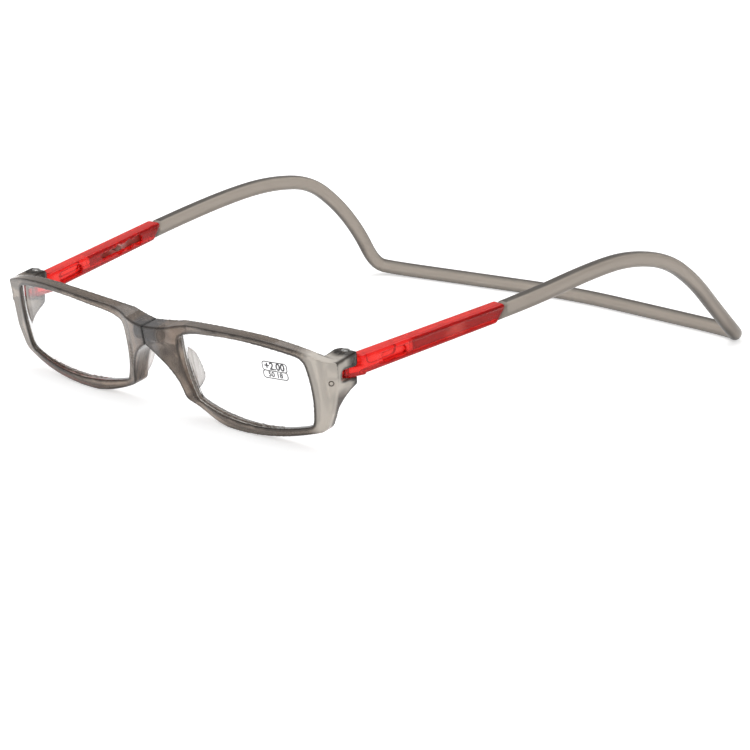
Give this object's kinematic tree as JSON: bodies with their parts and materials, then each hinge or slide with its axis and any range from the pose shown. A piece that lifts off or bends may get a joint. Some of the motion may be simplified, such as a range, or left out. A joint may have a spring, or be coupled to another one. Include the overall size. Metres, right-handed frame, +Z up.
{
  "type": "magnetic bridge reading glasses",
  "caption": "Reading glasses that part at the bridge: two hinged half fronts held shut by magnets, on arms that slide along the ends of a stiff one-piece neckband.",
  "frame": {"origin": "middle of the footprint of the whole object, on the surface it stands on", "axes": "+X towards the wearer's left, -Y out of the lenses, +Z up"},
  "size_m": [0.1483, 0.181, 0.0375],
  "materials": {
    "band_plastic": "frosted translucent grey",
    "arm_plastic": "glossy transparent red",
    "front_plastic": "glossy translucent smoke grey",
    "lens_plastic": "clear, polished",
    "magnet_plating": "nickel plated",
    "screw_steel": "turned stainless steel",
    "insert_brass": "turned"
  },
  "bodies": {
    "neckband": {"neckband": "band_plastic"},
    "left_arm": {"left_arm": "arm_plastic"},
    "right_arm": {"right_arm": "arm_plastic"},
    "left_half": {"left_front": "front_plastic", "left_lens": "lens_plastic", "left_bridge_magnet": "magnet_plating", "left_hinge_screw": "screw_steel", "left_hinge_insert": "insert_brass"},
    "right_half": {"right_front": "front_plastic", "right_lens": "lens_plastic", "right_bridge_magnet": "magnet_plating", "right_hinge_screw": "screw_steel", "right_hinge_insert": "insert_brass"}
  },
  "joints": [
    {"name": "left_slide", "type": "slide", "parent": "neckband", "child": "left_arm", "axis": [0, -0.9901, -0.1404], "range_m": [0, 0.0088]},
    {"name": "right_slide", "type": "slide", "parent": "neckband", "child": "right_arm", "axis": [0, -0.9901, -0.1404], "range_m": [0, 0.0088]},
    {"name": "left_hinge", "type": "hinge", "parent": "left_arm", "child": "left_half", "pos_m": [0.0632, -0.07514, 0.0214], "axis": [0, 0, 1], "range_deg": [0, 80]},
    {"name": "right_hinge", "type": "hinge", "parent": "right_arm", "child": "right_half", "pos_m": [-0.0632, -0.07514, 0.0214], "axis": [0, 0, -1], "range_deg": [0, 80]}
  ]
}
